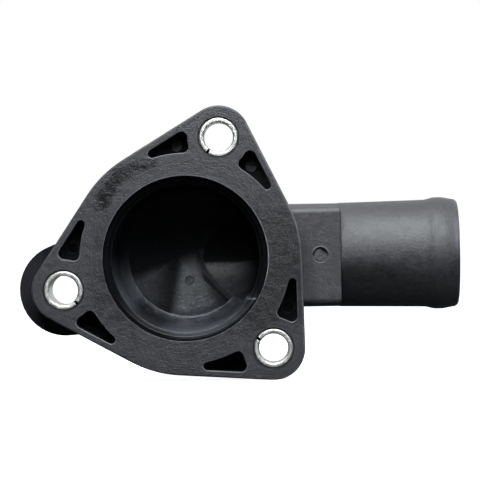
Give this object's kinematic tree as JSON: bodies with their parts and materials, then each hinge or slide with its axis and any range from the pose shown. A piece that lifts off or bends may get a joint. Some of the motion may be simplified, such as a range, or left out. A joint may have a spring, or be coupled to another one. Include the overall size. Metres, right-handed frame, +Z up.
{
  "type": "thermostat housing",
  "caption": "Moulded black coolant thermostat housing with a sleeved bolt flange, cored pockets, a domed chamber and a beaded hose spigot.",
  "frame": {"origin": "centre of the bolt circle and of the chamber mouth, on the mounting face", "axes": "-Y is out of the mounting face towards the engine, +X is along the hose spigot towards its open end, +Z is up as the part is pictured"},
  "size_m": [0.1348, 0.0459, 0.0832],
  "materials": {
    "moulded_nylon": "satin",
    "plated_steel": "satin"
  },
  "bodies": {
    "root": {"housing": "moulded_nylon", "sleeve_top": "plated_steel", "sleeve_left": "plated_steel", "sleeve_right": "plated_steel"}
  },
  "joints": []
}
